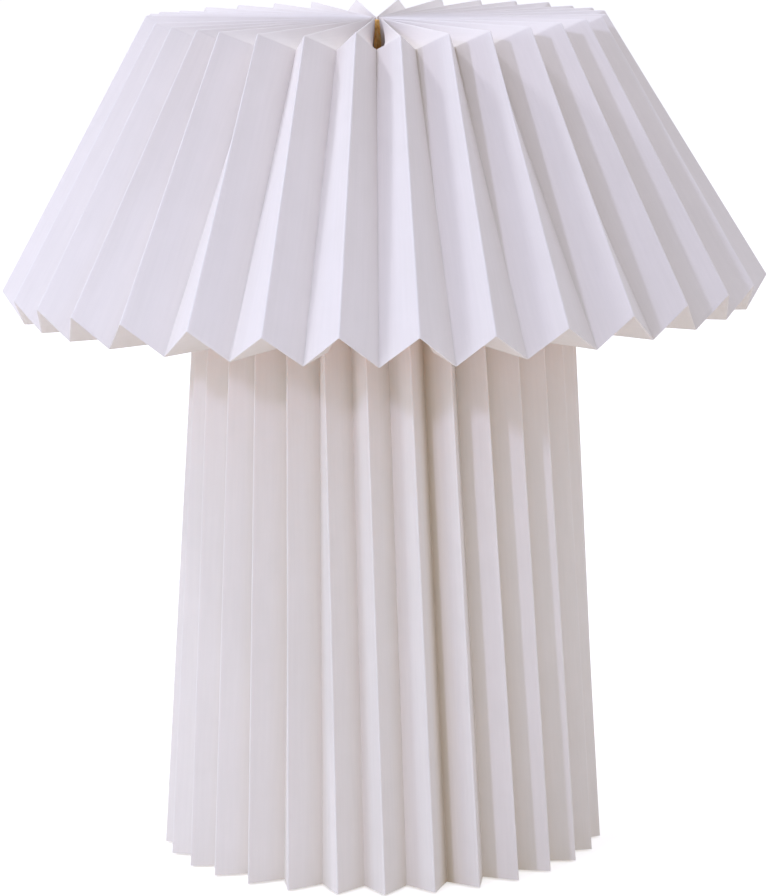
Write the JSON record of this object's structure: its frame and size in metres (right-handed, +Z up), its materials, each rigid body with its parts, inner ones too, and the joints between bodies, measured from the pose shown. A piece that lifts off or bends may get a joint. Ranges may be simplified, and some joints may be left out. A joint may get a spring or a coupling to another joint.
{
  "type": "pleated paper table lamp",
  "caption": "Table lamp of folded white paper: a closed, flared pleated shade that lifts off and turns on a tapered pleated column, over a wire frame, a weighted base and a small screw bulb.",
  "frame": {"origin": "on the table, under the middle of the round base", "axes": "+Z up along the stem, -Y towards the front, where a valley fold of the shade faces, +Y towards the cord inlet at the back, +X to the right seen from the front"},
  "size_m": [0.3384, 0.3384, 0.378],
  "materials": {
    "shade_paper": "matte",
    "column_paper": "matte",
    "kraft_board": "matte",
    "dowel_wood": "matte",
    "grey_board": "matte",
    "felt": "matte",
    "white_steel": "satin",
    "white_wire": "satin",
    "cast_iron": "matte",
    "zinc_steel": "satin",
    "white_rubber": "matte",
    "holder_plastic": "matte",
    "holder_ceramic": "matte",
    "contact_brass": "satin",
    "bulb_metal": "satin",
    "bulb_black": "gloss",
    "bulb_white": "satin",
    "opal_glass": "gloss",
    "seat_plastic": "matte"
  },
  "bodies": {
    "base": {"felt_pad": "felt", "base_cover_board": "grey_board", "base_pan": "white_steel", "base_weight": "cast_iron", "stem_bottom_washer": "zinc_steel", "stem_bottom_nut": "zinc_steel", "stem_top_washer": "zinc_steel", "stem_top_nut": "zinc_steel", "stem_tube": "zinc_steel", "cord_inlet_bushing": "white_rubber", "column_lower_ring": "white_wire", "column_upper_ring": "white_wire", "column_uprights": "white_wire", "column_spider": "white_steel", "pleated_column": "column_paper", "lampholder_cap": "holder_plastic", "lampholder_shell": "holder_plastic", "lampholder_ring": "holder_plastic", "lampholder_core": "holder_ceramic", "lampholder_screw_sleeve": "contact_brass", "lampholder_centre_contact": "contact_brass", "lampholder_terminal_screws": "zinc_steel"},
    "shade_seat": {"shade_seat_ring": "seat_plastic"},
    "shade": {"shade_hub_ring": "white_wire", "shade_arms": "white_wire", "shade_shoulder_ring": "white_wire", "shade_ribs": "white_wire", "shade_lower_ring": "white_wire", "shade_top_board": "kraft_board", "shade_centre_dowel": "dowel_wood", "pleated_shade": "shade_paper"},
    "bulb_tip": {"bulb_contact": "bulb_metal", "bulb_insulator": "bulb_black"},
    "bulb": {"bulb_screw_cap": "bulb_metal", "bulb_collar": "bulb_white", "bulb_globe": "opal_glass"}
  },
  "joints": [
    {"name": "shade_lift", "type": "slide", "parent": "base", "child": "shade_seat", "axis": [0, 0, 1], "range_m": [0, 0.15]},
    {"name": "shade_turn", "type": "hinge", "parent": "shade_seat", "child": "shade", "pos_m": [0, 0, 0.2691], "axis": [0, 0, 1], "continuous": true},
    {"name": "bulb_rise", "type": "slide", "parent": "base", "child": "bulb_tip", "axis": [0, 0, 1], "range_m": [0, 0.0128]},
    {"name": "bulb_turn", "type": "hinge", "parent": "bulb_tip", "child": "bulb", "pos_m": [0, 0, 0.258], "axis": [0, 0, 1], "range_deg": [0, 1620]}
  ],
  "couplings": [
    {"joint": "bulb_rise", "follows": "bulb_turn", "m_per_rad": 0.00044913}
  ]
}
